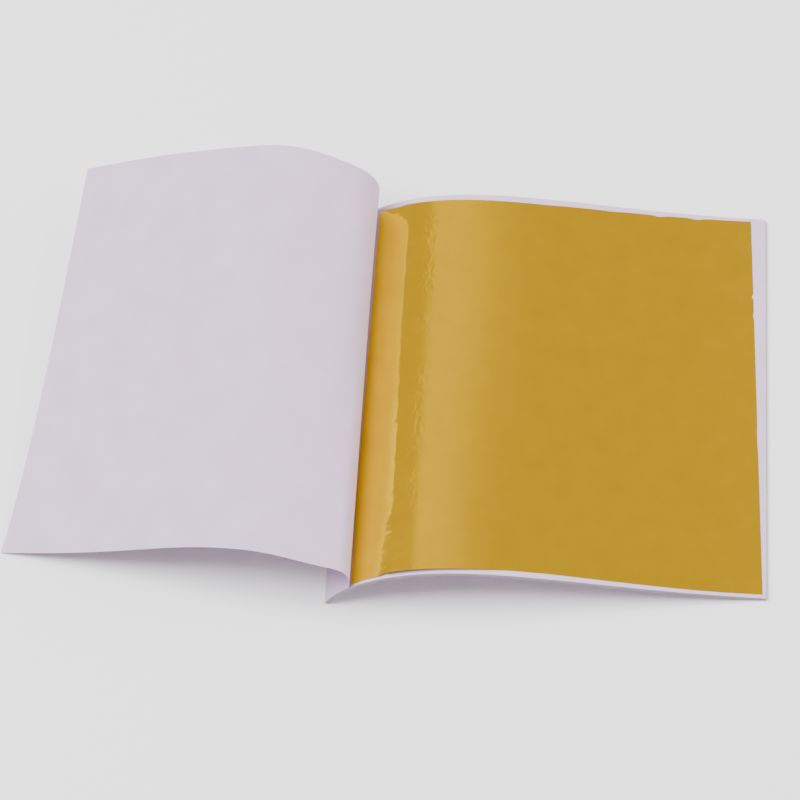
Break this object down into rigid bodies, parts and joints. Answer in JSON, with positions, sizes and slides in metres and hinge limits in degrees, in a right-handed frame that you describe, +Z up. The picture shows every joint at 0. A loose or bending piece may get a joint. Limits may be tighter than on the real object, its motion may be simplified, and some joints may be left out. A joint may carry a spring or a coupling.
{
  "type": "gold leaf booklet",
  "caption": "Open gold leaf booklet: thin square sheets glued along one edge, a gold leaf on each, the top sheet turned over to the left.",
  "frame": {"origin": "middle of the flat foot of the glued spine, on the table", "axes": "+X across the sheets from the spine to their free edges, +Y along the spine to the rear, +Z up"},
  "size_m": [0.1495, 0.1007, 0.0246],
  "materials": {
    "paper": "matte",
    "turned_paper": "matte",
    "gold": "satin",
    "glue": "satin"
  },
  "bodies": {
    "block": {"spine_glue": "glue", "page_01": "paper", "bound_margins": "paper", "turned_page_fold": "turned_paper"},
    "turned_sheet": {"turned_page": "turned_paper"},
    "sheet_02": {"page_02": "paper"},
    "sheet_03": {"page_03": "paper"},
    "sheet_04": {"page_04": "paper"},
    "sheet_05": {"page_05": "paper"},
    "sheet_06": {"page_06": "paper"},
    "sheet_07": {"page_07": "paper"},
    "sheet_08": {"page_08": "paper"},
    "sheet_09": {"page_09": "paper"},
    "sheet_10": {"page_10": "paper"},
    "leaf_01": {"gold_leaf_01": "gold"},
    "leaf_02": {"gold_leaf_02": "gold"},
    "leaf_03": {"gold_leaf_03": "gold"},
    "leaf_04": {"gold_leaf_04": "gold"},
    "leaf_05": {"gold_leaf_05": "gold"},
    "leaf_06": {"gold_leaf_06": "gold"},
    "leaf_07": {"gold_leaf_07": "gold"},
    "leaf_08": {"gold_leaf_08": "gold"},
    "leaf_09": {"gold_leaf_09": "gold"},
    "leaf_10": {"gold_leaf_10": "gold"}
  },
  "joints": [
    {"name": "turned_page_turn", "type": "hinge", "parent": "block", "child": "turned_sheet", "pos_m": [0.00595, 0, 0.01785], "axis": [-0.0623, -0.9976, -0.0306], "range_deg": [-185, 0], "deforming": ["turned_page_fold"]},
    {"name": "page_10_turn", "type": "hinge", "parent": "block", "child": "sheet_10", "pos_m": [0.00586, 0, 0.00715], "axis": [-0.0231, -0.9996, -0.014], "range_deg": [0, 45]},
    {"name": "page_09_turn", "type": "hinge", "parent": "block", "child": "sheet_09", "pos_m": [0.00586, 0, 0.00715], "axis": [-0.0231, -0.9996, -0.014], "range_deg": [0, 40]},
    {"name": "page_08_turn", "type": "hinge", "parent": "block", "child": "sheet_08", "pos_m": [0.00586, 0, 0.00715], "axis": [-0.0231, -0.9996, -0.014], "range_deg": [0, 35]},
    {"name": "page_07_turn", "type": "hinge", "parent": "block", "child": "sheet_07", "pos_m": [0.00586, 0, 0.00715], "axis": [-0.0231, -0.9996, -0.014], "range_deg": [0, 30]},
    {"name": "page_06_turn", "type": "hinge", "parent": "block", "child": "sheet_06", "pos_m": [0.00586, 0, 0.00715], "axis": [-0.0231, -0.9996, -0.014], "range_deg": [0, 25]},
    {"name": "page_05_turn", "type": "hinge", "parent": "block", "child": "sheet_05", "pos_m": [0.00586, 0, 0.00715], "axis": [-0.0231, -0.9996, -0.014], "range_deg": [0, 20]},
    {"name": "page_04_turn", "type": "hinge", "parent": "block", "child": "sheet_04", "pos_m": [0.00586, 0, 0.00715], "axis": [-0.0231, -0.9996, -0.014], "range_deg": [0, 15]},
    {"name": "page_03_turn", "type": "hinge", "parent": "block", "child": "sheet_03", "pos_m": [0.00586, 0, 0.00715], "axis": [-0.0231, -0.9996, -0.014], "range_deg": [0, 10]},
    {"name": "page_02_turn", "type": "hinge", "parent": "block", "child": "sheet_02", "pos_m": [0.00586, 0, 0.00715], "axis": [-0.0231, -0.9996, -0.014], "range_deg": [0, 5]},
    {"name": "gold_leaf_01_slide", "type": "slide", "parent": "block", "child": "leaf_01", "axis": [0, -1, 0], "range_m": [0, 0.06]},
    {"name": "gold_leaf_02_slide", "type": "slide", "parent": "sheet_02", "child": "leaf_02", "axis": [0, -1, 0], "range_m": [0, 0.06]},
    {"name": "gold_leaf_03_slide", "type": "slide", "parent": "sheet_03", "child": "leaf_03", "axis": [0, -1, 0], "range_m": [0, 0.06]},
    {"name": "gold_leaf_04_slide", "type": "slide", "parent": "sheet_04", "child": "leaf_04", "axis": [0, -1, 0], "range_m": [0, 0.06]},
    {"name": "gold_leaf_05_slide", "type": "slide", "parent": "sheet_05", "child": "leaf_05", "axis": [0, -1, 0], "range_m": [0, 0.06]},
    {"name": "gold_leaf_06_slide", "type": "slide", "parent": "sheet_06", "child": "leaf_06", "axis": [0, -1, 0], "range_m": [0, 0.06]},
    {"name": "gold_leaf_07_slide", "type": "slide", "parent": "sheet_07", "child": "leaf_07", "axis": [0, -1, 0], "range_m": [0, 0.06]},
    {"name": "gold_leaf_08_slide", "type": "slide", "parent": "sheet_08", "child": "leaf_08", "axis": [0, -1, 0], "range_m": [0, 0.06]},
    {"name": "gold_leaf_09_slide", "type": "slide", "parent": "sheet_09", "child": "leaf_09", "axis": [0, -1, 0], "range_m": [0, 0.06]},
    {"name": "gold_leaf_10_slide", "type": "slide", "parent": "sheet_10", "child": "leaf_10", "axis": [0, -1, 0], "range_m": [0, 0.06]}
  ],
  "couplings": [
    {"joint": "page_09_turn", "follows": "page_10_turn", "ratio": 0.88889},
    {"joint": "page_08_turn", "follows": "page_10_turn", "ratio": 0.77778},
    {"joint": "page_07_turn", "follows": "page_10_turn", "ratio": 0.66667},
    {"joint": "page_06_turn", "follows": "page_10_turn", "ratio": 0.55556},
    {"joint": "page_05_turn", "follows": "page_10_turn", "ratio": 0.44444},
    {"joint": "page_04_turn", "follows": "page_10_turn", "ratio": 0.33333},
    {"joint": "page_03_turn", "follows": "page_10_turn", "ratio": 0.22222},
    {"joint": "page_02_turn", "follows": "page_10_turn", "ratio": 0.11111}
  ]
}
